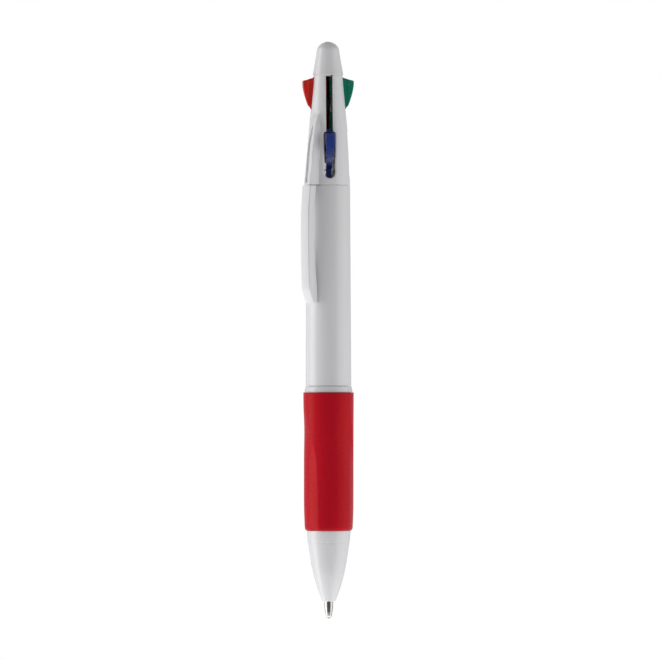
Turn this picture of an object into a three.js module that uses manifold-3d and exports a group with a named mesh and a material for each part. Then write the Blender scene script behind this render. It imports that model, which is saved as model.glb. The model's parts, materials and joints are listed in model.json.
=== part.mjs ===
// Four-colour retractable ballpoint pen, standing on its writing tip.
// Millimetres, +Z up, origin at the lowest point of the blue ball, on the barrel's axis.
// The blue slider is down and its point is out; red, green and black are up.
import * as THREE from "three";
import { mergeVertices } from "three/addons/utils/BufferGeometryUtils.js";
import Module from "manifold-3d";

const wasm = await Module();
wasm.setup();

// ---- driving dimensions ----
const ROUND = 40; // sides of the large turned pieces
const SMALL_ROUND = 16; // sides of the thin ones
const SEAM = 0.05; // half the gap left where two shells meet

const NOSE_END_Z = 4.3;
const NOSE_SEAM_Z = 19.05;
const GRIP_BOTTOM_Z = 22.1;
const GRIP_TOP_Z = 56.8;
const COLLAR_SEAM_Z = 58.45;
const HOUSING_SEAM_Z = 108.9;
const CAP_SEAM_Z = 136.5;
const TOP_Z = 145;

const SPIGOT_R = 4.88; // the two spigots that go into the upper barrel
const SOCKET_R = 4.95; // the sockets that take them
const SPIGOT_LENGTH = 7.8;
const CAVITY_R = 4.3; // bore that the sliders and springs work in
const FRONT_BORE_R = 4.15;
const SLEEVE_R = 4.95; // front barrel under the grip

const TRAVEL = 13.5; // of each slider, and of its point
const RING_R = 2.6; // the refills stand in a ring of this radius
const TUBE_R = 1.15;
const TUBE_BORE_R = 0.8;
const TUBE_BOTTOM_Z = 8.2; // with the point out
const TUBE_TOP_Z = 103.7; // with the point out
const POINT_R = 1.1;
const POINT_TOP_Z = 8;
const BALL_R = 0.5;
const BEND_START_Z = 11; // the tube that is out bends from the axis here
const BEND_END_Z = 80; // to its place in the ring here

const PLATE_Z = [86.05, 87.8]; // guide plate that seats the springs
const PLATE_R = 4.25;
const LEDGE_R = 4;
const SPRING_R = 1.45;
const WIRE_R = 0.17;
const SPRING_TURNS = 9;

const SLOT_WIDTH = 1.7;
const WIDE_SLOT_WIDTH = 2.7; // below the latch ledge
const LATCH_Z = 122.2;
const SLOT_BOTTOM_Z = 110.6;
const STEM_Z = [117.5, 122]; // of a slider that is up
const STEM_R = 1.5;
const BLADE_WIDTH = 1.4;
const FIN_WIDTH = 2.4; // wider than the slot's upper part, so it starts outside the shell
const FIN_START_R = 4.95;

const CLIP_DIRECTION = -135; // degrees from +X, midway between the blue and red slots
const CLIP_WIDTH = 2.7;
const CLIP_ROOT_R = 6.7; // middle of the tongue that holds the clip in the housing's stem

const COLOURS = [
  { name: "blue", degrees: -90, colour: 0x1c3076, out: true },
  { name: "red", degrees: 180, colour: 0xc6201c, out: false },
  { name: "green", degrees: 0, colour: 0x00735a, out: false },
  { name: "black", degrees: 90, colour: 0x151517, out: false },
];

// ---- materials ----
const white = new THREE.MeshStandardMaterial({ color: 0xececee, roughness: 0.2, metalness: 0 });
const rubber = new THREE.MeshStandardMaterial({ color: 0xb31c26, roughness: 0.5, metalness: 0 });
const nickel = new THREE.MeshStandardMaterial({ color: 0xc9c9c6, roughness: 0.2, metalness: 1 });
const steel = new THREE.MeshStandardMaterial({ color: 0x9c9ca0, roughness: 0.3, metalness: 1 });
const natural = new THREE.MeshStandardMaterial({ color: 0xe4e4dc, roughness: 0.4, metalness: 0 });

function plastic(colour) {
  return new THREE.MeshStandardMaterial({ color: colour, roughness: 0.25, metalness: 0 });
}

// ---- tools for solids ----
// A closed outline of [radius, z] points, outside upwards and inside downwards, turned about Z.
function turned(outline, sides = ROUND) {
  const points = outline.map(([r, z]) => new THREE.Vector2(r, z));
  points.push(points[0].clone());
  return new THREE.LatheGeometry(points, sides).rotateX(Math.PI / 2);
}

// A flat outline of [radius, z] points in the plane of the axis, made width thick about it.
function slab(outline, width) {
  const shape = new THREE.Shape(outline.map(([r, z]) => new THREE.Vector2(r, z)));
  const plate = new THREE.ExtrudeGeometry(shape, { depth: width, bevelEnabled: false });
  return plate.translate(0, 0, -width / 2).rotateX(Math.PI / 2);
}

// Straight sides from each ring of points to the next, with both ends closed. The rings are convex.
function lofted(rings) {
  const sides = rings[0].length;
  const positions = rings.flat().flat();
  const faces = [];
  for (let level = 0; level + 1 < rings.length; level++) {
    for (let i = 0; i < sides; i++) {
      const a = level * sides + i;
      const b = level * sides + ((i + 1) % sides);
      faces.push(a, b, b + sides, a, b + sides, a + sides);
    }
  }
  const last = (rings.length - 1) * sides;
  for (let i = 1; i + 1 < sides; i++) {
    faces.push(0, i + 1, i);
    faces.push(last, last + i, last + i + 1);
  }
  const solid = new THREE.BufferGeometry();
  solid.setAttribute("position", new THREE.Float32BufferAttribute(positions, 3));
  solid.setIndex(faces);
  return solid;
}

function box(low, high) {
  const size = high.map((value, i) => value - low[i]);
  const middle = high.map((value, i) => (value + low[i]) / 2);
  return new THREE.BoxGeometry(...size).translate(...middle);
}

function toSolid(geometry) {
  const bare = geometry.clone();
  bare.deleteAttribute("normal");
  bare.deleteAttribute("uv");
  const merged = mergeVertices(bare, 1e-4);
  const mesh = new wasm.Mesh({
    numProp: 3,
    vertProperties: merged.attributes.position.array,
    triVerts: new Uint32Array(merged.index.array),
  });
  return new wasm.Manifold(mesh);
}

function toGeometry(solid) {
  const mesh = solid.getMesh();
  const geometry = new THREE.BufferGeometry();
  geometry.setAttribute("position", new THREE.BufferAttribute(mesh.vertProperties, 3));
  geometry.setIndex(new THREE.BufferAttribute(mesh.triVerts, 1));
  return geometry.toNonIndexed();
}

function joined(first, ...others) {
  return toGeometry(others.reduce((all, one) => all.add(toSolid(one)), toSolid(first)));
}

function cut(first, ...others) {
  return toGeometry(others.reduce((left, one) => left.subtract(toSolid(one)), toSolid(first)));
}

function turnedTo(geometry, degrees) {
  return geometry.clone().rotateZ(THREE.MathUtils.degToRad(degrees));
}

function named(name, geometry, material) {
  geometry.computeVertexNormals();
  const mesh = new THREE.Mesh(geometry, material);
  mesh.name = name;
  return mesh;
}

// ---- turned shells ----
function noseCone() {
  const top = NOSE_SEAM_Z - SEAM;
  return turned([
    [1.62, NOSE_END_Z],
    [2.7, 7.2],
    [3.73, 10.7],
    [4.4, 14.2],
    [5.15, top],
    [4.6, top],
    [4.6, top + 4],
    [4.1, top + 4],
    [3.62, 14.2],
    [2.9, 10.7],
    [1.95, 7.2],
    [1.42, NOSE_END_Z],
  ]);
}

function frontBarrel() {
  const spigotTop = COLLAR_SEAM_Z + SPIGOT_LENGTH;
  return turned([
    [5.25, NOSE_SEAM_Z + SEAM],
    [5.5, GRIP_BOTTOM_Z - SEAM],
    [SLEEVE_R, GRIP_BOTTOM_Z - SEAM],
    [SLEEVE_R, GRIP_TOP_Z + SEAM],
    [6.08, GRIP_TOP_Z + SEAM],
    [5.76, COLLAR_SEAM_Z - SEAM],
    [SPIGOT_R, COLLAR_SEAM_Z - SEAM],
    [SPIGOT_R, spigotTop],
    [FRONT_BORE_R, spigotTop],
    [FRONT_BORE_R, 23.5],
    [4.7, 23.5],
    [4.7, NOSE_SEAM_Z + SEAM],
  ]);
}

function rubberGrip() {
  const inner = SLEEVE_R + SEAM;
  return turned([
    [5.3, GRIP_BOTTOM_Z],
    [5.8, GRIP_BOTTOM_Z + 0.4],
    [6.05, GRIP_BOTTOM_Z + 1.2],
    [6.2, 29],
    [6.2, 42],
    [6.37, GRIP_TOP_Z - 0.15],
    [6.22, GRIP_TOP_Z],
    [inner, GRIP_TOP_Z],
    [inner, GRIP_BOTTOM_Z],
  ]);
}

function upperBarrel() {
  const bottom = COLLAR_SEAM_Z + SEAM;
  const top = HOUSING_SEAM_Z - SEAM;
  const plateSeat = PLATE_Z[0] - SEAM;
  return turned([
    [5.72, bottom],
    [5.5, top],
    [SOCKET_R, top],
    [SOCKET_R, top - SPIGOT_LENGTH - 0.2],
    [CAVITY_R, top - SPIGOT_LENGTH - 0.2],
    [CAVITY_R, plateSeat],
    [LEDGE_R, plateSeat],
    [LEDGE_R, plateSeat - 1.2],
    [CAVITY_R, plateSeat - 1.5],
    [CAVITY_R, bottom + SPIGOT_LENGTH + 0.2],
    [SOCKET_R, bottom + SPIGOT_LENGTH + 0.2],
    [SOCKET_R, bottom],
  ]);
}

function topCap() {
  const bottom = CAP_SEAM_Z + SEAM;
  return turned([
    [3.85, bottom],
    [3.6, 137.9],
    [2.94, 141.9],
    [2.76, 142.9],
    [2.3, 143.9],
    [1.6, 144.5],
    [0.8, 144.87],
    [0, TOP_Z],
    [0, 143.4],
    [1.5, 143],
    [1.95, 142.2],
    [2.5, 141.3],
    [2.5, bottom],
  ]);
}

function guidePlate() {
  const disc = turned([
    [PLATE_R, PLATE_Z[0]],
    [PLATE_R, PLATE_Z[1]],
    [0, PLATE_Z[1]],
    [0, PLATE_Z[0]],
  ]);
  const hole = new THREE.CylinderGeometry(TUBE_R + 0.1, TUBE_R + 0.1, 6, SMALL_ROUND);
  hole.rotateX(Math.PI / 2).translate(RING_R, 0, PLATE_Z[0]);
  return cut(disc, ...COLOURS.map(({ degrees }) => turnedTo(hole, degrees)));
}

// ---- upper housing: slotted shell with the stem that carries the clip ----
function housingShell() {
  const bottom = HOUSING_SEAM_Z + SEAM;
  return turned([
    [5.48, bottom],
    [5.38, 113.6],
    [5.2, 117.7],
    [4.9, 122.8],
    [4.45, 127.8],
    [3.72, CAP_SEAM_Z],
    [2.4, CAP_SEAM_Z],
    [2.4, 140.6],
    [1.6, 140.6],
    [1.6, 136],
    [3.6, 122.5],
    [CAVITY_R, 122.4],
    [CAVITY_R, bottom - SPIGOT_LENGTH],
    [SPIGOT_R, bottom - SPIGOT_LENGTH],
    [SPIGOT_R, bottom],
  ]);
}

// The opening that a slider works in, cut from the axis outwards through +X.
function slotCutter() {
  const narrow = SLOT_WIDTH / 2;
  const wide = WIDE_SLOT_WIDTH / 2;
  const outline = new THREE.Shape();
  outline.moveTo(-narrow, CAP_SEAM_Z);
  outline.lineTo(-narrow, LATCH_Z);
  outline.lineTo(-wide, LATCH_Z);
  outline.lineTo(-wide, SLOT_BOTTOM_Z + wide);
  outline.absarc(0, SLOT_BOTTOM_Z + wide, wide, Math.PI, 2 * Math.PI, false);
  outline.lineTo(wide, LATCH_Z);
  outline.lineTo(narrow, LATCH_Z);
  outline.lineTo(narrow, CAP_SEAM_Z);
  const options = { depth: 8, bevelEnabled: false, curveSegments: 10 };
  const cutter = new THREE.ExtrudeGeometry(outline, options);
  return cutter.rotateX(Math.PI / 2).rotateZ(Math.PI / 2);
}

// A trapezoid across the stem at height z, from inside the shell out to the stem's edge.
function stemSection(edge, z) {
  const base = 4.6;
  const halfBase = 1.4;
  const halfEdge = 0.875;
  return [
    [base, -halfBase, z],
    [Math.max(edge, base + 0.05), -halfEdge, z],
    [Math.max(edge, base + 0.05), halfEdge, z],
    [base, halfBase, z],
  ];
}

function clipStem() {
  const stem = lofted([
    stemSection(8.3, HOUSING_SEAM_Z + SEAM),
    stemSection(7.65, 113.4),
    stemSection(7.35, 116.6),
    stemSection(7, 118.3),
    stemSection(6.65, 121.1),
    stemSection(6.05, 123.6),
    stemSection(4.7, 127),
  ]);
  const groove = slab(
    [
      [8.2, 109.5],
      [7.3, 113.4],
      [7, 116.6],
      [6.65, 118.3],
      [6.3, 121.1],
      [6.15, 124.2],
      [9, 124.2],
      [9, 109.5],
    ],
    1.1,
  );
  const pocket = box([CLIP_ROOT_R - 0.6, -0.7, 108], [CLIP_ROOT_R + 0.6, 0.7, 112]);
  return cut(stem, groove, pocket);
}

function upperHousing() {
  const bore = new THREE.CylinderGeometry(CAVITY_R, CAVITY_R, 22, ROUND);
  bore.rotateX(Math.PI / 2).translate(0, 0, 111.4);
  const stem = cut(clipStem(), bore);
  const shell = joined(housingShell(), turnedTo(stem, CLIP_DIRECTION));
  return cut(shell, ...COLOURS.map(({ degrees }) => turnedTo(slotCutter(), degrees)));
}

// ---- pocket clip ----
function clipSection(inner, outer, z) {
  const half = CLIP_WIDTH / 2;
  return [
    [inner, -half, z],
    [outer, -half, z],
    [outer, half, z],
    [inner, half, z],
  ];
}

function pocketClip() {
  const top = HOUSING_SEAM_Z - SEAM - 0.05;
  const arm = lofted([
    clipSection(5.75, 7.25, 79.3),
    clipSection(5.72, 8.72, 82.4),
    clipSection(6.03, 8.93, 84.6),
    clipSection(6.6, 9.12, 89.5),
    clipSection(6.97, 9.2, 95),
    clipSection(6.97, 9.2, 101.6),
    clipSection(6.67, 8.88, 105),
    clipSection(6.1, 8.5, top),
  ]);
  const tongue = box([CLIP_ROOT_R - 0.3, -0.45, top - 1], [CLIP_ROOT_R + 0.3, 0.45, top + 2.6]);
  return joined(arm, tongue);
}

// ---- slider, drawn in its upper place, its slot facing +X ----
function sliderBlade() {
  return slab(
    [
      [1.3, 136.4],
      [1.3, 131.1],
      [1.7, 130.6],
      [1.7, 127.6],
      [1.3, 127.2],
      [1.3, STEM_Z[0] + 0.5],
      [2.6, STEM_Z[0] + 0.5],
      [2.6, 126.5],
      [4.35, 128],
      [FIN_START_R + 0.1, 129.2],
      [FIN_START_R + 0.1, 135.6],
      [3.6, 136.4],
    ],
    BLADE_WIDTH,
  );
}

// The part that the thumb pushes, outside the housing.
function sliderFin() {
  const outline = new THREE.Shape();
  outline.moveTo(FIN_START_R, 135.5);
  outline.lineTo(6.2, 135.2);
  outline.quadraticCurveTo(6.45, 135.1, 6.45, 134.7);
  outline.quadraticCurveTo(6.4, 132.1, 5.15, 129.1);
  outline.lineTo(FIN_START_R, 128.7);
  const options = { depth: FIN_WIDTH, bevelEnabled: false, curveSegments: 5 };
  const fin = new THREE.ExtrudeGeometry(outline, options);
  return fin.translate(0, 0, -FIN_WIDTH / 2).rotateX(Math.PI / 2);
}

// Inner edges shaped as quarters, so that four sliders fill the middle without touching.
function innerWedge(bottom, top) {
  const half = BLADE_WIDTH / 2;
  const corners = [
    [0.35, 0],
    [0.35 + half, -half],
    [2, -half],
    [2, half],
    [0.35 + half, half],
  ];
  return lofted([bottom, top].map((z) => corners.map(([x, y]) => [x, y, z])));
}

function slider() {
  const stem = new THREE.CylinderGeometry(STEM_R, STEM_R, STEM_Z[1] - STEM_Z[0], SMALL_ROUND);
  stem.rotateX(Math.PI / 2).translate(RING_R, 0, (STEM_Z[0] + STEM_Z[1]) / 2);
  const pegLength = 3;
  const peg = new THREE.CylinderGeometry(0.7, 0.7, pegLength + 1, SMALL_ROUND);
  peg.rotateX(Math.PI / 2).translate(RING_R, 0, STEM_Z[0] - (pegLength - 1) / 2);
  const lowerWedge = innerWedge(STEM_Z[0] + 1, 127.2);
  const upperWedge = innerWedge(131.1, 136.2);
  return joined(sliderBlade(), sliderFin(), lowerWedge, upperWedge, stem, peg);
}

// ---- refill: point, ball, tube and return spring ----
function writingPoint() {
  return turned(
    [
      [0.49, 0.3],
      [0.6, 0.3],
      [0.7, 0.62],
      [POINT_R, 2.84],
      [POINT_R, POINT_TOP_Z],
      [0.74, POINT_TOP_Z],
      [0.74, POINT_TOP_Z + 2.6],
      [0.3, POINT_TOP_Z + 2.6],
      [0.3, 1.1],
      [0.47, 0.82],
      [0.55, BALL_R],
    ],
    SMALL_ROUND,
  );
}

function writingBall() {
  return new THREE.SphereGeometry(BALL_R, 12, 8).rotateX(Math.PI / 2).translate(0, 0, BALL_R);
}

function straightTube() {
  return turned(
    [
      [TUBE_R, TUBE_BOTTOM_Z],
      [TUBE_R, TUBE_TOP_Z],
      [TUBE_BORE_R, TUBE_TOP_Z],
      [TUBE_BORE_R, TUBE_BOTTOM_Z],
    ],
    SMALL_ROUND,
  );
}

// The tube of the refill that is out: on the axis at the bottom, in the ring at the top.
function bentTube() {
  const stations = 24;
  const route = [new THREE.Vector3(0, 0, TUBE_BOTTOM_Z)];
  for (let i = 0; i <= stations; i++) {
    const z = BEND_START_Z + ((BEND_END_Z - BEND_START_Z) * i) / stations;
    const out = RING_R * THREE.MathUtils.smoothstep(z, BEND_START_Z, BEND_END_Z);
    route.push(new THREE.Vector3(out, 0, z));
  }
  route.push(new THREE.Vector3(RING_R, 0, TUBE_TOP_Z));
  const ring = new THREE.Shape().absarc(0, 0, TUBE_R, 0, 2 * Math.PI, false);
  ring.holes.push(new THREE.Path().absarc(0, 0, TUBE_BORE_R, 0, 2 * Math.PI, true));
  return new THREE.ExtrudeGeometry(ring, {
    steps: 30,
    curveSegments: 6,
    bevelEnabled: false,
    extrudePath: new THREE.CatmullRomCurve3(route),
  });
}

class Helix extends THREE.Curve {
  constructor(radius, turns, bottom, top) {
    super();
    Object.assign(this, { radius, turns, bottom, top });
  }

  getPoint(t, target = new THREE.Vector3()) {
    const angle = 2 * Math.PI * this.turns * t;
    const z = this.bottom + (this.top - this.bottom) * t;
    return target.set(this.radius * Math.cos(angle), this.radius * Math.sin(angle), z);
  }
}

// Stands on the guide plate and pushes up the slider's stem.
function returnSpring(stemBottom) {
  const clear = WIRE_R + SEAM;
  const wire = new THREE.Shape().absarc(0, 0, WIRE_R, 0, 2 * Math.PI, false);
  return new THREE.ExtrudeGeometry(wire, {
    steps: SPRING_TURNS * 10,
    curveSegments: 2,
    bevelEnabled: false,
    extrudePath: new Helix(SPRING_R, SPRING_TURNS, PLATE_Z[1] + clear, stemBottom - clear),
  });
}

// One colour's pieces. The turned group faces +X towards the colour's slot.
function colourSet({ name, degrees, colour, out }) {
  const lowered = out ? TRAVEL : 0;
  const pointPlace = out ? [0, 0, 0] : [RING_R, 0, TRAVEL];

  const thumbSlider = named(`${name}_slider`, slider(), plastic(colour));
  thumbSlider.position.z = -lowered;

  const tube = named(`${name}_tube`, out ? bentTube() : straightTube(), natural);
  if (!out) tube.position.set(RING_R, 0, TRAVEL);

  const point = named(`${name}_point`, writingPoint(), nickel);
  point.position.set(...pointPlace);

  const ball = named(`${name}_ball`, writingBall(), steel);
  ball.position.set(...pointPlace);

  const spring = named(`${name}_spring`, returnSpring(STEM_Z[0] - lowered), steel);
  spring.position.x = RING_R;

  const set = new THREE.Group();
  set.rotation.z = THREE.MathUtils.degToRad(degrees);
  set.add(thumbSlider, tube, point, ball, spring);
  return set;
}

// ---- the pen ----
const pen = new THREE.Group();
pen.add(named("top_cap", topCap(), white));
pen.add(named("upper_housing", upperHousing(), white));
pen.add(named("upper_barrel", upperBarrel(), white));
pen.add(named("front_barrel", frontBarrel(), white));
pen.add(named("rubber_grip", rubberGrip(), rubber));
pen.add(named("nose_cone", noseCone(), white));
pen.add(named("guide_plate", guidePlate(), natural));

const clip = named("pocket_clip", pocketClip(), white);
clip.rotation.z = THREE.MathUtils.degToRad(CLIP_DIRECTION);
pen.add(clip);

COLOURS.forEach((each) => pen.add(colourSet(each)));

export default pen;
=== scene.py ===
import json
import math

import bmesh
import bpy
from mathutils import Matrix, Vector


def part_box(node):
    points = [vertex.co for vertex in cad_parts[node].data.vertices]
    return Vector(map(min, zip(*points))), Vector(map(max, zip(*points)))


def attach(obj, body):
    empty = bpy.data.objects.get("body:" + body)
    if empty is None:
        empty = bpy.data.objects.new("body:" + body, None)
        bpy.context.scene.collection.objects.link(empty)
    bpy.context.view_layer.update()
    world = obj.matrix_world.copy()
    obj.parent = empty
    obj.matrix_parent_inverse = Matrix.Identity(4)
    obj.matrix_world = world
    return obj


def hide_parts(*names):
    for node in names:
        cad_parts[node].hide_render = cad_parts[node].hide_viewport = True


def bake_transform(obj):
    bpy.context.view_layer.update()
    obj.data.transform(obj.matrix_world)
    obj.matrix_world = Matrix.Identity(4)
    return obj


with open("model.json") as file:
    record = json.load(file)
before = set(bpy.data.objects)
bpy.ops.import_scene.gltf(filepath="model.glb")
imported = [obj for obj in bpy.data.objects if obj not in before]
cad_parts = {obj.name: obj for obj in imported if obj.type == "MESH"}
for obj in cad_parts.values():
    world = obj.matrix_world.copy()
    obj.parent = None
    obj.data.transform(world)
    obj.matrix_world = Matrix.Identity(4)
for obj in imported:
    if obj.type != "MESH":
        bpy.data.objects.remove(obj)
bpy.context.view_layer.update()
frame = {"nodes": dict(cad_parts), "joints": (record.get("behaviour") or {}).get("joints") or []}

# ---- sizes in millimetres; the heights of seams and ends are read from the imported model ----
MM = 0.001


def foot(node):
    """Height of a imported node's lower end."""
    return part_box(node)[0].z / MM


def head(node):
    """Height of its upper end."""
    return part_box(node)[1].z / MM


NOSE_END = foot("nose_cone")
NOSE_SEAM = foot("front_barrel")
GRIP_BOTTOM = foot("rubber_grip")
GRIP_TOP = head("rubber_grip")
COLLAR_SEAM = foot("upper_barrel")
HOUSING_SEAM = head("upper_barrel")
CAP_SEAM = foot("top_cap")
TOP = head("top_cap")
PLATE_TOP = head("guide_plate")
TRAVEL = next(j["range_m"][1] for j in frame["joints"] if j["name"] == "blue_slide") / MM

GAP = 0.1  # seam between two shells
SPIGOT_LENGTH = 7.8

# radii
RING = 2.6  # of the ring that the refills stand in
TUBE = 1.15
TUBE_BORE = 0.8
FRONT_BORE = 4.15
CAVITY = 4.3
SPIGOT = 4.88
SOCKET = 4.95
SLEEVE = 4.95  # of the front barrel under the grip

CLIP_ANGLE = math.radians(-135)
WELD = 1e-4  # points nearer than this are joined
CREASE = 35  # edges sharper than this many degrees are kept crisp

SLOT_ANGLES = {"blue": -90, "red": 180, "green": 0, "black": 90}
OUT = "blue"  # the colour whose slider is down

AROUND = 128  # steps round the shells
AROUND_SMALL = 40  # and round the thin pieces


# ---- mesh tools ----
def add_object(name, mesh):
    piece = bpy.data.objects.new(name, mesh)
    bpy.context.scene.collection.objects.link(piece)
    return piece


def mesh_object(name, build, crease=CREASE):
    """An object from the bmesh that build fills in millimetres, smooth but for sharp edges."""
    made = bmesh.new()
    build(made)
    bmesh.ops.remove_doubles(made, verts=made.verts, dist=WELD)
    bmesh.ops.recalc_face_normals(made, faces=made.faces)
    made.transform(Matrix.Scale(MM, 4))
    shade(made, crease)
    mesh = bpy.data.meshes.new(name)
    made.to_mesh(mesh)
    made.free()
    return add_object(name, mesh)


def shade(made, crease):
    """Smooth shading, with the edges sharper than crease degrees kept crisp."""
    limit = math.radians(crease)
    for face in made.faces:
        face.smooth = True
    for edge in made.edges:
        edge.smooth = len(edge.link_faces) == 2 and edge.calc_face_angle(0) < limit


def rounded(corners):
    """The outline through (r, z, fillet) corners, each fillet an even curve across its corner."""
    steps = 5
    dense = []
    for i, (r, z, fillet) in enumerate(corners):
        here = Vector((r, z))
        if not fillet:
            dense.append(here)
            continue
        before = Vector(corners[i - 1][:2]) - here
        after = Vector(corners[(i + 1) % len(corners)][:2]) - here
        start = here + before.normalized() * min(fillet, before.length / 2)
        end = here + after.normalized() * min(fillet, after.length / 2)
        for k in range(steps + 1):
            t = k / steps
            dense.append(start * (1 - t) ** 2 + here * 2 * t * (1 - t) + end * t * t)
    return dense


def flowing(points, steps=8):
    """A smooth line, a Catmull-Rom spline, through points that are tuples of the same length."""
    knots = [Vector(p) for p in points]
    line = []
    for i in range(len(knots) - 1):
        before, here = knots[max(i - 1, 0)], knots[i]
        there, after = knots[i + 1], knots[min(i + 2, len(knots) - 1)]
        for k in range(steps):
            t = k / steps
            bend = (2 * here, there - before, 2 * before - 5 * here + 4 * there - after)
            last = 3 * here - before - 3 * there + after
            line.append((bend[0] + bend[1] * t + bend[2] * t * t + last * t**3) / 2)
    return line + [knots[-1]]


def eased(knots, x):
    """The value at x on a smooth curve through (x, value) knots."""
    i = 0
    while i < len(knots) - 2 and x > knots[i + 1][0]:
        i += 1
    (x0, y0), (x1, y1) = knots[i], knots[i + 1]
    span = x1 - x0
    t = min(max((x - x0) / span, 0), 1)

    def slope(k):
        low, high = max(k - 1, 0), min(k + 1, len(knots) - 1)
        return (knots[high][1] - knots[low][1]) / (knots[high][0] - knots[low][0])

    start = (1 + 2 * t) * (1 - t) ** 2 * y0 + t * (1 - t) ** 2 * span * slope(i)
    return start + t * t * (3 - 2 * t) * y1 - t * t * (1 - t) * span * slope(i + 1)


def ramp(x, low, high):
    """0 below low and 1 above high, with a smooth step between them."""
    t = min(max((x - low) / (high - low), 0), 1)
    return t * t * (3 - 2 * t)


def turned(name, outline, around=AROUND, relief=None, twist=None):
    """A closed (r, z) outline turned about the axis. relief(angle, r, z) gives another radius.

    twist(angle, z) gives another angle, for rows that follow a line of the relief.
    """
    def build(made):
        rows = []
        for r, z in outline:
            row = []
            for k in range(around):
                angle = 2 * math.pi * k / around
                angle = twist(angle, z) if twist else angle
                radius = relief(angle, r, z) if relief else r
                row.append((radius * math.cos(angle), radius * math.sin(angle), z))
            rows.append([made.verts.new(point) for point in row])
        for i, row in enumerate(rows):
            above = rows[(i + 1) % len(rows)]
            for k in range(around):
                n = (k + 1) % around
                made.faces.new((row[k], row[n], above[n], above[k]))
        bmesh.ops.dissolve_degenerate(made, dist=1e-5, edges=made.edges)

    return mesh_object(name, build)


def stacked(name, rows, crease=CREASE):
    """A closed body through rows of points, each row a closed ring, with both ends capped."""
    def build(made):
        rings = [[made.verts.new(point) for point in row] for row in rows]
        count = len(rows[0])
        for ring, above in zip(rings, rings[1:]):
            for k in range(count):
                n = (k + 1) % count
                made.faces.new((ring[k], ring[n], above[n], above[k]))
        made.faces.new(rings[0])
        made.faces.new(rings[-1])

    return mesh_object(name, build, crease)


def ring_across(route, i, radius, around):
    """A circle of points across a route at its i-th point."""
    ahead = route[min(i + 1, len(route) - 1)] - route[max(i - 1, 0)]
    reference = Vector((0, 1, 0.02))  # no route runs along it
    side = ahead.cross(reference).normalized()
    other = ahead.cross(side).normalized()
    angles = [2 * math.pi * k / around for k in range(around)]
    return [route[i] + radius * (side * math.cos(a) + other * math.sin(a)) for a in angles]


def swept(name, route, radius, around):
    """A solid rod along a route, with flat ends."""
    return stacked(name, [ring_across(route, i, radius, around) for i in range(len(route))])


def hollow(name, route, outer, inner, around):
    """An open tube along a route."""
    last = len(route) - 1
    outside = [ring_across(route, i, outer, around) for i in range(last + 1)]
    inside = [ring_across(route, i, inner, around) for i in range(last, -1, -1)]

    def build(made):
        rings = [[made.verts.new(point) for point in row] for row in outside + inside]
        for i, ring in enumerate(rings):
            above = rings[(i + 1) % len(rings)]
            for k in range(around):
                n = (k + 1) % around
                made.faces.new((ring[k], ring[n], above[n], above[k]))

    return mesh_object(name, build)


def slab(name, outline, width, bevel):
    """A flat (x, z) outline made width thick, half to each side of y = 0, with its edges rounded."""
    def build(made):
        near = [made.verts.new((x, -width / 2, z)) for x, z in outline]
        far = [made.verts.new((x, width / 2, z)) for x, z in outline]
        made.faces.new(near)
        made.faces.new(far)
        count = len(outline)
        for k in range(count):
            n = (k + 1) % count
            made.faces.new((near[k], near[n], far[n], far[k]))
        bmesh.ops.recalc_face_normals(made, faces=made.faces)
        rim = [e for e in made.edges if e.verts[0].co.y == e.verts[1].co.y]  # round the flat faces
        bmesh.ops.bevel(made, geom=rim, offset=bevel, segments=3, profile=0.6, affect="EDGES")

    return mesh_object(name, build)


def united(name, pieces):
    """One closed mesh from overlapping ones, which are used up."""
    base = pieces[0]
    for piece in pieces[1:]:
        union = base.modifiers.new("Union", "BOOLEAN")
        union.operation = "UNION"
        union.solver = "EXACT"
        union.object = piece
    bpy.context.view_layer.update()
    evaluated = base.evaluated_get(bpy.context.evaluated_depsgraph_get())
    mesh = bpy.data.meshes.new_from_object(evaluated)
    made = bmesh.new()
    made.from_mesh(mesh)
    shade(made, CREASE)
    made.to_mesh(mesh)
    made.free()
    for piece in pieces:
        bpy.data.objects.remove(piece)
    mesh.name = name
    return add_object(name, mesh)


def finished(piece, body, slot, material, *nodes):
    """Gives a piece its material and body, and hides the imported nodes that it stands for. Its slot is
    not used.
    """
    piece.data.materials.clear()
    piece.data.materials.append(material)
    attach(piece, body)
    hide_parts(*nodes)


# ---- material tools ----
NOISE_LOW, NOISE_HIGH = 0.3, 0.7  # nearly all of a noise's values lie between these


def new_material(name, ior=1.5, metallic=0.0):
    material = bpy.data.materials.new(name)
    material.use_nodes = True
    tree = material.node_tree
    shader = tree.nodes["Principled BSDF"]
    shader.inputs["IOR"].default_value = ior
    shader.inputs["Metallic"].default_value = metallic
    return material, tree, shader


def noise(tree, scale, detail, stretch=(1, 1, 1)):
    """Noise fixed to the object; scale is in cycles per metre."""
    where = tree.nodes.new("ShaderNodeTexCoord")
    mapping = tree.nodes.new("ShaderNodeMapping")
    mapping.inputs["Scale"].default_value = stretch
    texture = tree.nodes.new("ShaderNodeTexNoise")
    texture.inputs["Scale"].default_value = scale
    texture.inputs["Detail"].default_value = detail
    tree.links.new(where.outputs["Object"], mapping.inputs["Vector"])
    tree.links.new(mapping.outputs["Vector"], texture.inputs["Vector"])
    return texture.outputs["Fac"]


def varied(tree, factor, low, high, socket):
    """Runs a noise between two numbers into a socket."""
    span = tree.nodes.new("ShaderNodeMapRange")
    span.inputs["From Min"].default_value = NOISE_LOW
    span.inputs["From Max"].default_value = NOISE_HIGH
    span.inputs["To Min"].default_value = low
    span.inputs["To Max"].default_value = high
    tree.links.new(factor, span.inputs["Value"])
    tree.links.new(span.outputs["Result"], socket)


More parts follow.
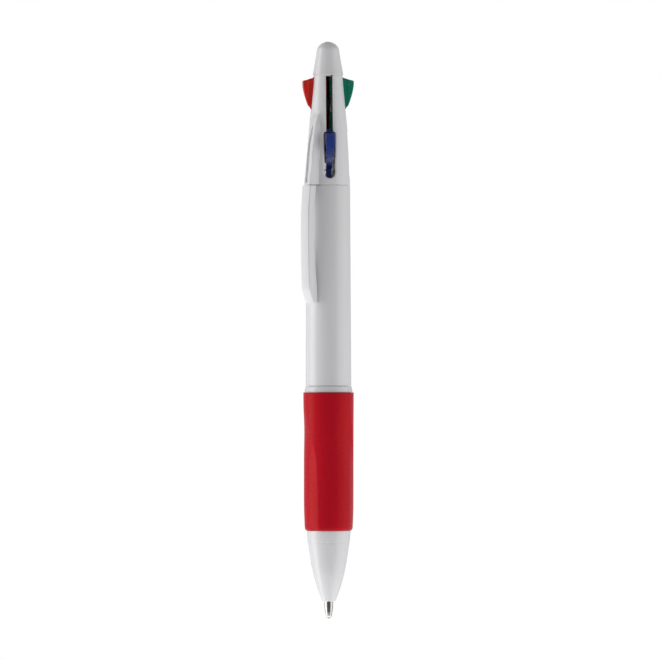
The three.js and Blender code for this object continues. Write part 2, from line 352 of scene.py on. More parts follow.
def tinted(tree, factor, dark, light, socket):
    """Runs a noise between two colours into a socket."""
    blend = tree.nodes.new("ShaderNodeValToRGB")
    blend.color_ramp.elements[0].position = NOISE_LOW
    blend.color_ramp.elements[1].position = NOISE_HIGH
    blend.color_ramp.elements[0].color = (*dark, 1)
    blend.color_ramp.elements[1].color = (*light, 1)
    tree.links.new(factor, blend.inputs["Fac"])
    tree.links.new(blend.outputs["Color"], socket)


def bumped(tree, height, depth, shader):
    """Runs a noise into the shader's normal, as a relief depth millimetres deep."""
    bump = tree.nodes.new("ShaderNodeBump")
    bump.inputs["Distance"].default_value = depth * MM
    tree.links.new(height, bump.inputs["Height"])
    tree.links.new(bump.outputs["Normal"], shader.inputs["Normal"])


def shades(colour, dark, light):
    """A darker and a lighter shade of a colour."""
    return [c * dark for c in colour], [min(1, c * light) for c in colour]


# ---- materials ----
def moulded(name, colour, polish=(0.14, 0.22)):
    """Glossy moulded plastic: a faint flow of tone along the part, and polish that varies a little."""
    material, tree, shader = new_material(name, ior=1.52)
    flow = noise(tree, 90, detail=3, stretch=(1, 1, 0.25))
    tinted(tree, flow, *shades(colour, 0.97, 1.02), shader.inputs["Base Color"])
    varied(tree, noise(tree, 700, detail=5), *polish, shader.inputs["Roughness"])
    bumped(tree, noise(tree, 420, detail=2, stretch=(1, 1, 0.4)), 0.003, shader)
    return material


def soft_rubber(name, colour):
    """Satin moulded rubber with a fine skin, whose gloss leans towards orange."""
    material, tree, shader = new_material(name, ior=1.3)
    shader.inputs["Specular IOR Level"].default_value = 0.3
    shader.inputs["Specular Tint"].default_value = (1, 0.42, 0.1, 1)
    flow = noise(tree, 160, detail=4, stretch=(1, 1, 0.3))
    tinted(tree, flow, *shades(colour, 0.93, 1.05), shader.inputs["Base Color"])
    varied(tree, noise(tree, 900, detail=2), 0.24, 0.32, shader.inputs["Roughness"])
    bumped(tree, noise(tree, 1800, detail=1), 0.002, shader)
    return material


def worked_metal(name, colour, roughness, stretch=(1, 1, 1)):
    """Metal with fine tool marks, which run round the axis if stretch packs them along it."""
    material, tree, shader = new_material(name, metallic=1.0)
    marks = noise(tree, 1500, detail=4, stretch=stretch)
    tinted(tree, marks, *shades(colour, 0.9, 1.05), shader.inputs["Base Color"])
    varied(tree, marks, roughness * 0.75, roughness * 1.3, shader.inputs["Roughness"])
    bumped(tree, marks, 0.001, shader)
    return material


def tube_plastic(name, colour):
    """The milky clear plastic of an ink tube: thin, so its haze comes from a low alpha."""
    haze = 0.22
    material, tree, shader = new_material(name)
    shader.inputs["Alpha"].default_value = haze
    tinted(tree, noise(tree, 300, detail=3), colour, (1, 1, 1), shader.inputs["Base Color"])
    varied(tree, noise(tree, 800, detail=3), 0.12, 0.3, shader.inputs["Roughness"])
    return material


def ink(name, colour):
    """Thick ink, with darker streaks along the tube."""
    material, tree, shader = new_material(name, ior=1.45)
    tone = noise(tree, 500, detail=3, stretch=(1, 1, 0.2))
    tinted(tree, tone, *shades(colour, 0.6, 1), shader.inputs["Base Color"])
    varied(tree, noise(tree, 300, detail=2), 0.1, 0.25, shader.inputs["Roughness"])
    return material


PAINTS = {
    "blue": (0.022, 0.045, 0.24),
    "red": (0.78, 0.022, 0.012),
    "green": (0.0, 0.24, 0.15),
    "black": (0.006, 0.006, 0.007),
}
WHITE = moulded("white_moulded", (0.84, 0.84, 0.855))
NATURAL = moulded("natural_moulded", (0.74, 0.73, 0.66), (0.3, 0.42))
RUBBER = soft_rubber("red_rubber_skin", (0.56, 0.0085, 0.022))
NICKEL = worked_metal("nickel_silver", (0.74, 0.72, 0.68), 0.14, (0.15, 0.15, 4))
WIRE = worked_metal("spring_wire", (0.5, 0.5, 0.52), 0.28)
CARBIDE = worked_metal("ball_carbide", (0.12, 0.12, 0.125), 0.2)
CLEAR = tube_plastic("tube_clear", (0.86, 0.88, 0.86))
PLASTICS = {name: moulded(f"{name}_moulded", paint, (0.18, 0.3)) for name, paint in PAINTS.items()}
INKS = {name: ink(f"{name}_ink", paint) for name, paint in PAINTS.items()}


# ---- turned white shells ----
def nose_cone():
    """The pointed shell, with a thin lip round the hole that the point comes out of."""
    top = NOSE_SEAM - GAP
    lip = [(1.42, NOSE_END + 0.06), (1.47, NOSE_END), (1.56, NOSE_END), (1.63, NOSE_END + 0.06)]
    cone = flowing([(1.7, NOSE_END + 0.2), (2.71, 7.2), (3.74, 10.7), (4.46, 14.2), (5.16, top - 0.15)])
    seat_top = top + 4
    seat = rounded([(5.17, top, 0.1), (4.6, top, 0), (4.6, seat_top, 0.2), (4.1, seat_top, 0)])
    inside = flowing([(4.1, 17), (3.62, 14.2), (2.9, 10.7), (1.95, 7.2), (1.48, 4.8)], 4)
    shell = turned("nose_shell", lip + cone + seat + inside)
    finished(shell, "front_section", "white_plastic", WHITE, "nose_cone")


def threaded(angle, r, z):
    """Cuts a helical thread into the spigot of the front barrel."""
    pitch, depth, run_in, run_out = 1.0, 0.16, 0.6, 0.5
    start, end = COLLAR_SEAM + 1, COLLAR_SEAM + 6.5
    if r < SPIGOT - 0.01 or not start < z < end:
        return r
    turn = (z / pitch - angle / (2 * math.pi)) % 1
    fade = ramp(z, start, start + run_in) * ramp(-z, -end, run_out - end)
    return r - depth * fade * abs(2 * turn - 1)


def front_barrel():
    """The rim below the grip, the sleeve under it, the collar above it and the threaded spigot."""
    rim = GRIP_BOTTOM - 0.05
    collar = GRIP_TOP + 0.05
    top = COLLAR_SEAM - GAP
    spigot_top = COLLAR_SEAM + SPIGOT_LENGTH
    body = rounded([
        (4.7, NOSE_SEAM, 0),
        (5.25, NOSE_SEAM, 0.1),
        (5.52, rim, 0.12),
        (SLEEVE, rim, 0),
        (SLEEVE, collar, 0),
        (6.08, collar, 0.12),
        (5.76, top, 0.12),
        (SPIGOT, top, 0),
    ])
    thread_rows, row_step = 76, 0.08
    thread = [(SPIGOT, top + 0.9 + row_step * k) for k in range(thread_rows)]
    end = rounded([(SPIGOT, spigot_top, 0.3), (FRONT_BORE, spigot_top, 0.15)])
    ledge = 23.5  # where the bore widens towards the nose
    inside = [(FRONT_BORE, ledge), (4.7, ledge)]
    outline = body + thread + end[1:] + inside
    sleeve = turned("barrel_front", outline, relief=threaded)
    finished(sleeve, "front_section", "white_plastic", WHITE, "front_barrel")


def upper_barrel():
    """A plain tube with a socket at each end, and a ledge inside that the guide plate rests on."""
    seat = foot("guide_plate") - 0.05
    upper_socket = HOUSING_SEAM - SPIGOT_LENGTH - 0.2
    lower_socket = COLLAR_SEAM + SPIGOT_LENGTH + 0.2
    outline = rounded([
        (5.72, COLLAR_SEAM, 0.1),
        (5.5, HOUSING_SEAM, 0.1),
        (SOCKET, HOUSING_SEAM, 0.1),
        (SOCKET, upper_socket, 0),
        (CAVITY, upper_socket, 0),
        (CAVITY, seat, 0),
        (4, seat, 0.1),
        (4, seat - 1.2, 0.1),
        (CAVITY, seat - 1.5, 0),
        (CAVITY, lower_socket, 0),
        (SOCKET, lower_socket, 0),
        (SOCKET, COLLAR_SEAM, 0.1),
    ])
    finished(turned("barrel_upper", outline), "pen_body", "white_plastic", WHITE, "upper_barrel")


def top_cap():
    dome = [(3.86, CAP_SEAM + 0.12), (3.6, 137.9), (3.25, 139.9), (2.94, 141.9), (2.79, 142.8)]
    dome += [(2.58, 143.45), (2.24, 143.95), (1.7, 144.42), (1.0, 144.76), (0.45, 144.94), (0, TOP)]
    inside = [(0, 143.4), (1.4, 143), (2.1, 142.2), (2.5, 141.3), (2.5, CAP_SEAM)]
    outline = [(3.78, CAP_SEAM)] + flowing(dome, 5) + inside
    finished(turned("cap_dome", outline), "pen_body", "white_plastic", WHITE, "top_cap")


# ---- rubber grip ----
# where the crisp edge of one hollow runs as it rises: (z, degrees round the pen)
SWEEP = [(22, -121), (30.5, -121), (38, -123.7), (41, -127.5), (44.3, -137), (49, -148), (53, -158)]
HOLLOWS = 3
HOLLOW_WIDTH = math.radians(72)
HOLLOW_DEPTH = 0.28
HOLLOW_END = (46, 54)  # the heights between which the hollows fade out


def twisted(angle, z):
    """Turns a row of the grip so that a line of its mesh follows the edge of each hollow."""
    return angle + math.radians(eased(SWEEP, z))


def grip_relief(angle, r, z):
    """Leaf-shaped hollows, each deepest beside its crisp edge and fading out round the pen."""
    if r < SLEEVE + 0.65:
        return r  # its inside stays round
    span = 2 * math.pi / HOLLOWS
    behind = (math.radians(eased(SWEEP, z)) - angle + 1e-6) % span
    across = min(behind / HOLLOW_WIDTH, 1)
    share = 6.75 * across * (1 - across) ** 2  # 1 at its deepest, a third of the way across
    return r - HOLLOW_DEPTH * share * ramp(-z, -HOLLOW_END[1], -HOLLOW_END[0])


def rubber_grip():
    """The soft sleeve, with a round shoulder at its lower end."""
    inner = SLEEVE + 0.05
    top = GRIP_TOP - 0.4
    shoulder = (6.12, GRIP_BOTTOM + 2.4, 0)
    base = rounded([(inner, GRIP_BOTTOM, 0), (6.02, GRIP_BOTTOM, 1.1), shoulder])
    side = flowing([(6.12, 24.5), (6.24, 29), (6.25, 41), (6.34, top)], 24)
    rim = rounded([(6.34, top, 0), (6.37, GRIP_TOP, 0.14), (inner, GRIP_TOP, 0)])
    outline = base[:-1] + side + rim[1:]
    around = 64 * HOLLOWS  # the same for each hollow
    sleeve = turned("grip_sleeve", outline, around, grip_relief, twisted)
    finished(sleeve, "front_section", "red_rubber", RUBBER, "rubber_grip")


# ---- upper housing ----
# (height, radius) of the shell, and (height, distance from the axis) of the stem's edge
SHELL = [(108.95, 5.48), (113.6, 5.38), (117.7, 5.2), (122.8, 4.9), (127.8, 4.45), (136.5, 3.72)]
STEM_EDGE = [
    (108.95, 8.3),
    (110.2, 8.2),
    (113.4, 7.7),
    (116.6, 7.32),
    (118.3, 7.05),
    (121.1, 6.65),
    (123.6, 6.05),
    (125.6, 5.25),
    (127.2, 4.45),
]
SLOT = 0.85  # half the slot's width above the latch ledge
WIDE_SLOT = 1.35  # and below it
LATCH = 122.2
LEDGE = 0.1  # half the height over which the slot narrows
SLOT_BOTTOM = 110.6
LIP = 0.4  # radius of the slot's rounded lip
POST_COLUMNS = 44  # points across one of the four posts between the slots
LIP_COLUMNS = 5  # of them on each lip
CLIP_QUARTER = 2  # the post that has the stem


def slot_half_width(z, offset):
    """Half the slot's width at height z, for the slot's outline moved outwards by offset."""
    middle = SLOT_BOTTOM + WIDE_SLOT
    if z < middle:
        return math.sqrt(max((WIDE_SLOT + offset) ** 2 - (middle - z) ** 2, 0))
    return offset + WIDE_SLOT - (WIDE_SLOT - SLOT) * ramp(z, LATCH - LEDGE, LATCH + LEDGE)


def ease_line(x):
    """0 to 1 in a straight line with a short curve at each end."""
    curve = 0.16
    x = min(max(x, 0), 1)
    if x < curve:
        return x * x / (2 * curve * (1 - curve))
    if x > 1 - curve:
        return 1 - (1 - x) ** 2 / (2 * curve * (1 - curve))
    return (x - curve / 2) / (1 - curve)


def groove_depth(across, z):
    """How far the groove in the stem's edge goes in, pointed at its top and round at its bottom."""
    widest, deepest, wall = 0.56, 0.32, 0.1
    tip, tip_length = 124.2, 5.5
    end, end_length = 110.1, 0.6
    half = widest * min(max((tip - z) / tip_length, 0), 1) ** 0.75
    if z < end:
        half *= math.sqrt(max(1 - ((end - z) / end_length) ** 2, 0))
    shallow = min(1, half / 0.2)  # less deep where it is narrow
    return deepest * shallow * (1 - ease_line((abs(across) - half + wall) / wall))


def stem_height(across, z, r):
    """Distance of the outside from the axis' plane, at a place across the post that has the stem."""
    surface = math.sqrt(max(r * r - across * across, 0))
    edge = eased(STEM_EDGE, z)
    if edge <= surface + 0.02 or z > STEM_EDGE[-1][0]:
        return surface
    base, crest = 1.45, 0.9  # half the stem's width at its foot and at its edge
    rise = ease_line((base - abs(across)) / (base - crest))
    return surface + (edge - groove_depth(across, z) - surface) * rise


def lip_points(z, r, side):
    """From inside the slot's wall out to the shell, as (across the slot, along it) points."""
    innermost = min(max(0, SLOT_BOTTOM - z), LIP)  # under the slot only the lip's outer part is left
    points = []
    for k in range(LIP_COLUMNS):
        share = 1 - math.sin(math.pi / 2 * (1 - k / (LIP_COLUMNS - 1)))
        offset = innermost + (LIP - innermost) * share
        across = slot_half_width(z, offset)
        sunk = LIP - math.sqrt(LIP * LIP - (LIP - offset) ** 2)
        points.append((side * across, math.sqrt(r * r - across * across) - sunk))
    return points


def bore_row(start, end, z, r):
    """One post's points on the bore, from the slot on its right hand to the one on its left."""
    half = math.asin(min(slot_half_width(z, 0) / r, 1)) if z > SLOT_BOTTOM else 0
    step = (end - start - 2 * half) / (POST_COLUMNS - 1)
    angles = [start + half + step * k for k in range(POST_COLUMNS)]
    return [(r * math.cos(a), r * math.sin(a), z) for a in angles]


def placed(points, angle, z):
    """(across, along) points of a slot's or a post's own plane, turned to its angle round the pen."""
    direction = Vector((math.cos(angle), math.sin(angle)))
    left = Vector((-direction.y, direction.x))
    return [(*(direction * along + left * across), z) for across, along in points]


def shell_row(quarter, start, end, z, r):
    """One post's points on the outside, between the same two slots."""
    count = POST_COLUMNS - 2 * LIP_COLUMNS
    reach = r * math.sin(math.pi / 4 - math.asin(slot_half_width(z, LIP) / r))
    spread = [-1 + 2 * (k + 1) / (count + 1) for k in range(count)]
    if quarter == CLIP_QUARTER:
        spread = [s * (0.42 + 0.58 * s * s) for s in spread]  # closer together on the stem
        between = [(s * reach, stem_height(s * reach, z, r)) for s in spread]
    else:
        between = [(s * reach, math.sqrt(r * r - (s * reach) ** 2)) for s in spread]
    first = placed(lip_points(z, r, 1), start, z)
    last = placed(lip_points(z, r, -1), end, z)[::-1]
    return first + placed(between, (start + end) / 2, z) + last


def housing_ring(z, r, inner=False):
    """The four posts' points at height z."""
    ring = []
    for quarter in range(4):
        start, end = math.radians(90 * quarter), math.radians(90 * quarter + 90)
        ring += bore_row(start, end, z, r) if inner else shell_row(quarter, start, end, z, r)
    return ring


def housing_heights():
    """Heights of the rings: close together round the slots' ends and at the latch ledge."""
    bottom, top = HOUSING_SEAM + GAP, CAP_SEAM - 0.05
    middle = SLOT_BOTTOM + WIDE_SLOT
    narrow_start = LATCH + LEDGE
    steps, narrow_steps = 22, 32
    angles = [math.pi / 2 * k / steps for k in range(steps + 1)]
    curve = [middle - (WIDE_SLOT + LIP) * math.cos(a) for a in angles]
    low = [bottom, bottom + 0.1, bottom + 0.4, bottom + 0.8, bottom + 1.1]
    wide = [middle + (LATCH - LEDGE - middle) * k / steps for k in range(1, steps + 1)]
    ledge = [LATCH - LEDGE / 2, LATCH, LATCH + LEDGE / 2, narrow_start]
    narrow_step = (top - 0.1 - narrow_start) / narrow_steps
    narrow = [narrow_start + narrow_step * k for k in range(1, narrow_steps + 1)]
    heights = sorted(set(low + curve + [SLOT_BOTTOM] + wide + ledge + narrow + [top]))
    return [z for i, z in enumerate(heights) if i == 0 or z - heights[i - 1] > 1e-3]


def passage(z):
    """Radius of the inside: the bore up to the latch ledge, and a narrowing passage above it."""
    narrowing = [(122.4, 3.6), (129, 2.7), (136.5, 1.6)]
    return CAVITY if z < LATCH + LEDGE + 0.02 else eased(narrowing, z)


def housing_rings():
    """Rings of points up the inside, round the spigot's end and up its side, and up the outside."""
    heights = housing_heights()
    bottom = heights[0]
    end = bottom - SPIGOT_LENGTH
    inner = [housing_ring(z, passage(z), inner=True) for z in heights]
    spigot = [(CAVITY, end), (SPIGOT - 0.2, end), (SPIGOT, end + 0.2), (SPIGOT, bottom)]
    lower = [housing_ring(z, r, inner=True) for r, z in spigot]
    outer = [housing_ring(z, eased(SHELL, z)) for z in heights]
    chamfer = 0.987  # share of the shell's size at its lower edge
    outer[0] = [(x * chamfer, y * chamfer, bottom) for x, y, _ in outer[1]]
    return inner, lower, outer


def close_skins(made, path):
    """Faces down the inside and up the outside, left open at the slots."""
    columns = 4 * POST_COLUMNS
    for ring, above in zip(path, path[1:]):
        under_slots = max(ring[0].co.z, above[0].co.z) <= SLOT_BOTTOM + WELD
        for k in range(columns):
            n = (k + 1) % columns
            in_slot = n % POST_COLUMNS == 0
            if in_slot and (not under_slots or (ring[k].co - ring[n].co).length <= WELD):
                continue
            made.faces.new((ring[k], ring[n], above[n], above[k]))


def close_posts(made, inner, outer):
    """The walls of the slots, and the posts' tops."""
    for post in range(4):
        first, last = post * POST_COLUMNS, (post + 1) * POST_COLUMNS - 1
        for k in (first, last):
            for i in range(len(outer) - 1):
                if outer[i][k].co.z >= SLOT_BOTTOM - WELD:
                    made.faces.new((outer[i][k], inner[i][k], inner[i + 1][k], outer[i + 1][k]))
        for k in range(first, last):
            made.faces.new((outer[-1][k], outer[-1][k + 1], inner[-1][k + 1], inner[-1][k]))


def housing_shell():
    """The posts between the slots, the stem on one of them, and the spigot under them all."""
    rows = housing_rings()

    def build(made):
        inner, lower, outer = [[[made.verts.new(p) for p in row] for row in skin] for skin in rows]
        close_skins(made, inner[::-1] + lower + outer)
        close_posts(made, inner, outer)

    shell = mesh_object("housing_shell", build, crease=40)
    finished(shell, "pen_body", "white_plastic", WHITE, "upper_housing")


def housing_crown():
    """The tube on top of the posts that the cap is pressed onto."""
    foot_z, top = CAP_SEAM - 0.06, 140.6
    outline = rounded([(2.4, foot_z, 0), (2.4, top, 0.25), (1.6, top, 0.1), (1.6, foot_z, 0)])
    crown = turned("housing_crown", outline, around=64)
    finished(crown, "pen_body", "white_plastic", WHITE, "upper_housing")


# ---- pocket clip ----
# (height, distance from the axis) along the arm's two faces
CLIP_INSIDE = [
    (79.3, 5.72), (82.4, 5.8), (84.6, 6.05), (89.5, 6.62),
    (95, 6.95), (101.6, 6.97), (105, 6.67), (108.8, 6.1),
]
CLIP_OUTSIDE = [
    (82.7, 8.78), (84.6, 8.95), (89.5, 9.14), (95, 9.23),
    (101.6, 9.2), (105, 8.9), (108.8, 8.5),
]
CLIP_HALF_WIDTH = 1.35


def clip_row(z, inside, outside, half, corner):
    """A rectangle with round corners across the clip, turned to the clip's side of the pen."""
    direction = Vector((math.cos(CLIP_ANGLE), math.sin(CLIP_ANGLE), 0))
    left = Vector((-direction.y, direction.x, 0))
    middles = [
        (outside - corner, half - corner, 0),
        (inside + corner, half - corner, 90),
        (inside + corner, corner - half, 180),
        (outside - corner, corner - half, 270),
    ]
    steps = 5
    row = []
    for along, across, start in middles:
        for k in range(steps + 1):
            angle = math.radians(start + 90 / steps * k)
            out = along + corner * math.cos(angle)
            side = across + corner * math.sin(angle)
            row.append(direction * out + left * side + Vector((0, 0, z)))
    return row


def pocket_clip():
    """The arm, slanted at its free end, and the tongue that joins it to the stem."""
    bottom, slant_top, top = CLIP_INSIDE[0][0], CLIP_OUTSIDE[0][0], HOUSING_SEAM - 0.05
    corner, end_corner, chamfer = 0.22, 0.15, 0.12
    end_inside, end_outside, slant_start = 5.85, 7.1, 7.27
    slant_steps, arm_steps = 7, 48
    rows = [clip_row(bottom, end_inside, end_outside, CLIP_HALF_WIDTH - chamfer, end_corner)]
    for k in range(slant_steps + 1):
        z = bottom + chamfer + (slant_top - bottom - chamfer) * k / slant_steps
        outside = slant_start + (CLIP_OUTSIDE[0][1] - slant_start) * k / slant_steps
        rows.append(clip_row(z, eased(CLIP_INSIDE, z), outside, CLIP_HALF_WIDTH, corner))
    for k in range(1, arm_steps + 1):
        z = slant_top + (top - 0.1 - slant_top) * k / arm_steps
        inside, outside = eased(CLIP_INSIDE, z), eased(CLIP_OUTSIDE, z)
        rows.append(clip_row(z, inside, outside, CLIP_HALF_WIDTH, corner))
    rows.append(clip_row(top, 6.2, 8.4, CLIP_HALF_WIDTH - 0.1, end_corner))
    tongue = {"inside": 6.4, "outside": 7.0, "half": 0.45, "corner": 0.05}
    rows += [clip_row(z, **tongue) for z in (top, top + 2.5)]
    finished(stacked("clip_arm", rows, crease=25), "clip", "white_plastic", WHITE, "pocket_clip")


# ---- sliders, drawn in their upper place and facing +X ----
STEM_BOTTOM, STEM_TOP = 117.5, 122
BLADE_WIDTH = 1.4
BLADE_BACK = 1.3  # distance of the blade's back edge from the axis
NOTCH = (127.2, 131.1)  # bottom and top of the notch in that edge
FIN_WIDTH = 2.4
FIN_TAPER = [(128.5, 0.62), (131, 0.8), (133.4, 1), (136, 1)]  # share of its width at each height


def slider_blade():
    """The flat plate that runs in the slot."""
    low = STEM_BOTTOM + 0.5
    back = [
        (BLADE_BACK, 136.4), (BLADE_BACK, NOTCH[1]), (BLADE_BACK + 0.4, NOTCH[1] - 0.5),
        (BLADE_BACK + 0.4, NOTCH[0] + 0.5), (BLADE_BACK, NOTCH[0]), (BLADE_BACK, low),
    ]
    front = [
        (RING, low), (RING, 126.5), (4.35, 128), (5.1, 129.2), (5.1, 135.5), (3.8, 135.9), (3.4, 136.4),
    ]
    return slab("blade", back + front, BLADE_WIDTH, 0.07)


def slider_fin():
    """The thumb tab, narrower towards its lower end."""
    rim = flowing([
        (6.2, 135.2), (6.4, 135.02), (6.45, 134.7), (6.36, 133.5),
        (6.05, 131.9), (5.58, 130.3), (5.15, 129.1),
    ], 4)
    outline = [(4.95, 135.5)] + [tuple(point) for point in rim] + [(4.95, 128.7)]
    fin = slab("fin", outline, FIN_WIDTH, 0.3)
    for vertex in fin.data.vertices:
        vertex.co.y *= eased(FIN_TAPER, vertex.co.z / MM)
    return fin


def slider_wedge(low, high):
    """Extends the blade inwards to an edge near the axis, between the neighbouring ones."""
    corners = [(0.35, 0), (1, -0.65), (2, -0.65), (2, 0.65), (1, 0.65)]
    return stacked("wedge", [[(x, y, z) for x, y in corners] for z in (low, high)])


def slider_rod(name, radius, low, high, low_fillet, high_fillet):
    """A round rod over the refill."""
    corners = [(0, low, 0), (radius, low, low_fillet), (radius, high, high_fillet), (0, high, 0)]
    rod = turned(name, rounded(corners), AROUND_SMALL)
    rod.data.transform(Matrix.Translation((RING * MM, 0, 0)))
    return rod


def slider_mesh():
    """One slider, for the four colours to share."""
    return united("slider", [
        slider_blade(),
        slider_fin(),
        slider_wedge(STEM_BOTTOM + 1, NOTCH[0]),
        slider_wedge(NOTCH[1], 136.2),
        slider_rod("stem", 1.5, STEM_BOTTOM, STEM_TOP, 0.1, 0.1),
        slider_rod("peg", 0.7, STEM_BOTTOM - 3, STEM_BOTTOM + 0.5, 0.15, 0),
    ])


def drop(name):
    """How far a colour's slider stands below its upper place."""
    return TRAVEL if name == OUT else 0


def turned_to(name):
    """Turns what faces +X to face a colour's slot."""
    return Matrix.Rotation(math.radians(SLOT_ANGLES[name]), 4, "Z")


def slider(name, pattern):
    piece = add_object(f"{name}_thumb_slider", pattern.data.copy())
    piece.data.transform(turned_to(name) @ Matrix.Translation((0, 0, -drop(name) * MM)))
    finished(piece, f"{name}_slider", f"{name}_plastic", PLASTICS[name], f"{name}_slider")


# ---- refills ----
# bottom and top, when the colour is out, of its tube, of the ink in it and of the tube's bend
TUBE_ENDS = (8.2, 103.7)
INK_ENDS = (10.8, 84)
BEND_START, BEND_END = 11, 80
BALL = 0.5  # radius of a writing ball


def in_place(piece, name):
    """Moves a piece that is drawn on the axis, as if its colour were out, to its refill's place."""
    if name != OUT:
        piece.data.transform(turned_to(name) @ Matrix.Translation((RING * MM, 0, TRAVEL * MM)))
    return piece


def writing_point(name):
    """The stepped metal point and the ball in it."""
    socket = [(0.5, 0.3), (0.56, 0.26), (0.62, 0.32), (0.66, 0.5)]
    cone = flowing([(0.7, 0.62), (0.79, 1.05), (0.93, 1.75), (1.04, 2.5), (1.09, 2.95)], 4)
    body = rounded([
        (1.1, 3.1, 0), (1.1, 5.9, 0.05), (1.02, 6, 0.04), (1.02, 6.25, 0.04), (1.1, 6.35, 0.05),
        (1.1, 8, 0.1), (0.74, 8, 0), (0.74, 10.6, 0.12), (0.3, 10.6, 0),
    ])
    inside = [(0.3, 1.1), (0.47, 0.82), (0.55, 0.55)]
    metal = turned(f"{name}_metal_point", socket + cone + body + inside, AROUND_SMALL)
    finished(in_place(metal, name), f"{name}_tip", "point_metal", NICKEL, f"{name}_point")
    steps = 20
    angles = [math.pi * k / steps for k in range(steps + 1)]
    arc = [(BALL * math.sin(a), BALL - BALL * math.cos(a)) for a in angles]
    ball = turned(f"{name}_writing_ball", arc, around=32)
    finished(in_place(ball, name), f"{name}_ball", "ball_carbide", CARBIDE, f"{name}_ball")


def lift(name):
    """How far a colour's refill stands above the height at which it writes."""
    return TRAVEL - drop(name)


def tube_route(name, low, high):
    """Points up a refill: straight in the ring, or bent from the axis out to the ring."""
    direction = turned_to(name) @ Vector((1, 0, 0))
    steps = 72
    route = []
    for k in range(steps + 1):
        z = low + (high - low) * k / steps
        out = RING * (ramp(z, BEND_START, BEND_END) if name == OUT else 1)
        route.append(direction * out + Vector((0, 0, z + lift(name))))
    return route


def refill(name):
    """The clear tube and the ink in it, which bend between the slider and the point."""
    tube = hollow(f"{name}_ink_tube", tube_route(name, *TUBE_ENDS), TUBE, TUBE_BORE, around=24)
    column = swept(f"{name}_ink_column", tube_route(name, *INK_ENDS), TUBE_BORE - 0.03, around=16)
    for piece, material in ((tube, CLEAR), (column, INKS[name])):
        piece.data.materials.append(material)
        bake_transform(piece)
        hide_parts(f"{name}_tube")


def coil_ring(route, i, centre, wire):
    """A circle of the wire's size across a coil, built on the coil's own radius."""
    around = 10
    outwards = (route[i] - centre) * Vector((1, 1, 0))
    outwards.normalize()
    angles = [2 * math.pi * k / around for k in range(around)]
    return [route[i] + wire * (outwards * math.cos(a) + Vector((0, 0, math.sin(a)))) for a in angles]


def coil_route(centre, radius, low, high, tight):
    """Points up a coil whose first and last turns are closed, tight apart, and the others open."""
    turns, closed, steps = 11, 1.0, 24
    open_turns = turns - 2 * closed
    open_pitch = (high - low - 2 * closed * tight) / open_turns
    route = []
    for k in range(turns * steps + 1):
        turn = k / steps
        first = min(turn, closed)
        between = min(max(turn - closed, 0), open_turns)
        last = max(turn - turns + closed, 0)
        z = low + tight * (first + last) + open_pitch * between
        angle = 2 * math.pi * turn
        route.append(centre + Vector((radius * math.cos(angle), radius * math.sin(angle), z)))
    return route


def return_spring(name):
    """A coil between the guide plate and the slider's stem."""
    wire, radius, play = 0.17, 1.45, 0.03
    low = PLATE_TOP + wire + play
    high = STEM_BOTTOM - drop(name) - wire - play
    centre = turned_to(name) @ Vector((RING, 0, 0))
    route = coil_route(centre, radius, low, high, 2 * wire + 0.02)
    coil = stacked(f"{name}_coil", [coil_ring(route, i, centre, wire) for i in range(len(route))])
    coil.data.materials.append(WIRE)
    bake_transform(coil)
    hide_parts(f"{name}_spring")


def guide_plate():
    """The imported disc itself, in natural plastic."""
    plate = frame["nodes"]["guide_plate"]
    plate.data.materials.clear()
    plate.data.materials.append(NATURAL)


# ---- studio, in metres ----
CAMERA_AZIMUTH = -5  # degrees round the pen from -Y
FLOOR_HEIGHT = -0.165
SCREEN_REACH = 0.34
SCREEN_FOOT, SCREEN_STEP, SCREEN_HEAD = -0.16, 0.21, 0.4
# upright screens round the pen: name, start and end in degrees to the camera's right, bottom
# and top, and strength
SCREENS = [
    ("front_flag", -40, 47, SCREEN_FOOT, SCREEN_STEP, 0.1),
    ("front_fill", -40, 47, SCREEN_STEP, SCREEN_HEAD, 0.75),
    ("left_gap", -70, -40, SCREEN_FOOT, SCREEN_HEAD, 0.4),
    ("left_softbox", -104, -70, SCREEN_FOOT, SCREEN_HEAD, 2.4),
    ("right_softbox", 47, 104, SCREEN_FOOT, SCREEN_HEAD, 1.05),
    ("back", 104, 256, SCREEN_FOOT, SCREEN_HEAD, 0.45),
]
CEILING_STRENGTH = 0.2


def camera():
    """Level with the pen's middle, a little to its left, with a long lens."""
    azimuth, roll = math.radians(CAMERA_AZIMUTH), math.radians(0.09)
    distance, frame_height, sensor = 3.0, 0.1659, 36
    aside, middle_height = 0.0004, 0.0725
    data = bpy.data.cameras.new("camera")
    data.sensor_width = sensor
    data.lens = sensor * distance / frame_height
    data.clip_end = 50
    eye = add_object("camera", data)
    middle = Vector((aside * math.cos(azimuth), 0, middle_height))
    back = Vector((math.sin(azimuth), -math.cos(azimuth), 0))
    eye.location = middle + back * distance
    eye.rotation_euler = (math.radians(90), roll, azimuth)
    bpy.context.scene.camera = eye


def emitter(name, strength):
    """A white light that reflects nothing."""
    material, _, shader = new_material(name)
    shader.inputs["Base Color"].default_value = (0, 0, 0, 1)
    shader.inputs["Specular IOR Level"].default_value = 0
    shader.inputs["Emission Color"].default_value = (1, 1, 1, 1)
    shader.inputs["Emission Strength"].default_value = strength
    return material


def unseen_screen(name, points, faces, strength):
    """A screen that lights the pen and shows in its gloss, but that the camera looks through."""
    mesh = bpy.data.meshes.new(name)
    mesh.from_pydata(points, [], faces)
    mesh.materials.append(emitter(name, strength))
    screen = add_object(name, mesh)
    screen.visible_camera = False


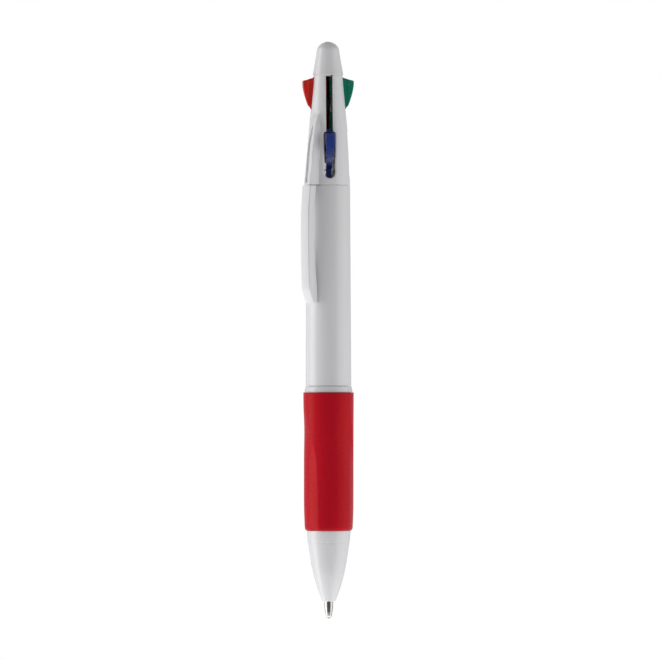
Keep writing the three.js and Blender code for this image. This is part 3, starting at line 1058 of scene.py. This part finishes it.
def panel(name, start, end, low, high, strength):
    """An upright screen round the pen, from one angle to the camera's right to another."""
    steps = 12
    points = []
    for k in range(steps + 1):
        angle = math.radians(CAMERA_AZIMUTH - 90 + start + (end - start) * k / steps)
        x, y = SCREEN_REACH * math.cos(angle), SCREEN_REACH * math.sin(angle)
        points += [(x, y, low), (x, y, high)]
    faces = [(2 * k, 2 * k + 1, 2 * k + 3, 2 * k + 2) for k in range(steps)]
    unseen_screen(name, points, faces, strength)


def ceiling():
    """A disc over the pen that closes the ring of screens."""
    steps = 48
    angles = [2 * math.pi * k / steps for k in range(steps)]
    points = [(SCREEN_REACH * math.cos(a), SCREEN_REACH * math.sin(a), SCREEN_HEAD) for a in angles]
    unseen_screen("ceiling", points, [tuple(range(steps))], CEILING_STRENGTH)


def white_world():
    """White surroundings, and colours shown without a film look."""
    scene = bpy.context.scene
    scene.view_settings.view_transform = "Standard"
    world = bpy.data.worlds.new("studio")
    world.use_nodes = True
    background = world.node_tree.nodes["Background"]
    background.inputs["Color"].default_value = (1, 1, 1, 1)
    background.inputs["Strength"].default_value = 1.0
    scene.world = world


def pale_floor():
    """A wide floor that glows, because the screens keep the world's light off it round the pen."""
    pale, tree, shader = new_material("pale_floor")
    tone = noise(tree, 3, detail=2)
    tinted(tree, tone, (0.3, 0.3, 0.3), (0.32, 0.32, 0.32), shader.inputs["Base Color"])
    shader.inputs["Roughness"].default_value = 0.9
    shader.inputs["Emission Color"].default_value = (1, 1, 1, 1)
    shader.inputs["Emission Strength"].default_value = 1.2
    side = 3
    corners = [(-side, -side, 0), (side, -side, 0), (side, side, 0), (-side, side, 0)]
    mesh = bpy.data.meshes.new("floor")
    mesh.from_pydata(corners, [], [(0, 1, 2, 3)])
    mesh.materials.append(pale)
    floor = add_object("floor", mesh)
    floor.location.z = FLOOR_HEIGHT


def studio():
    white_world()
    for screen in SCREENS:
        panel(*screen)
    ceiling()
    pale_floor()


camera()
studio()
nose_cone()
front_barrel()
rubber_grip()
upper_barrel()
housing_shell()
housing_crown()
top_cap()
pocket_clip()
pattern = slider_mesh()
for colour in SLOT_ANGLES:
    slider(colour, pattern)
    writing_point(colour)
    refill(colour)
    return_spring(colour)
bpy.data.objects.remove(pattern)
guide_plate()
